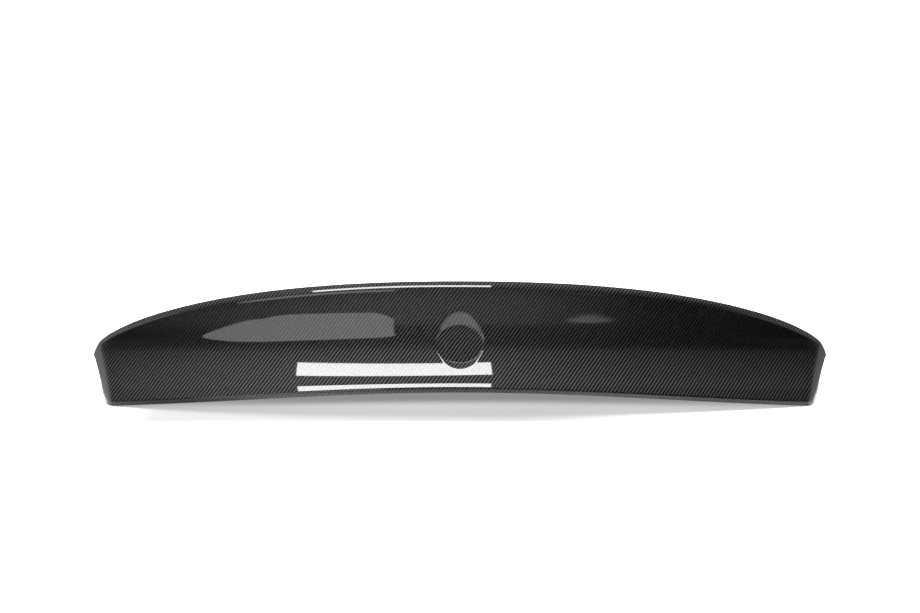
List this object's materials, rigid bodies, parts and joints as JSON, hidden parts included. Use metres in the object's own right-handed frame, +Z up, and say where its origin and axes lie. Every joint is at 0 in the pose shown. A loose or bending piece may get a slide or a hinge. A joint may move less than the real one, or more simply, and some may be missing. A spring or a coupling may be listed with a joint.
{
  "type": "car rear spoiler",
  "caption": "Ducktail rear spoiler: a moulded carbon-fibre shell over a boot lid's rear edge, with a hollow rear face and a bare round emblem seat.",
  "frame": {"origin": "centre of the part's width and depth, on the floor under its four corners", "axes": "+X along the width, -Y the way the rear face looks, +Z up"},
  "size_m": [1.292, 0.317, 0.2049],
  "materials": {
    "lacquered_carbon": "gloss lacquer over black carbon-fibre twill"
  },
  "bodies": {
    "root": {"spoiler_shell": "lacquered_carbon"}
  },
  "joints": []
}
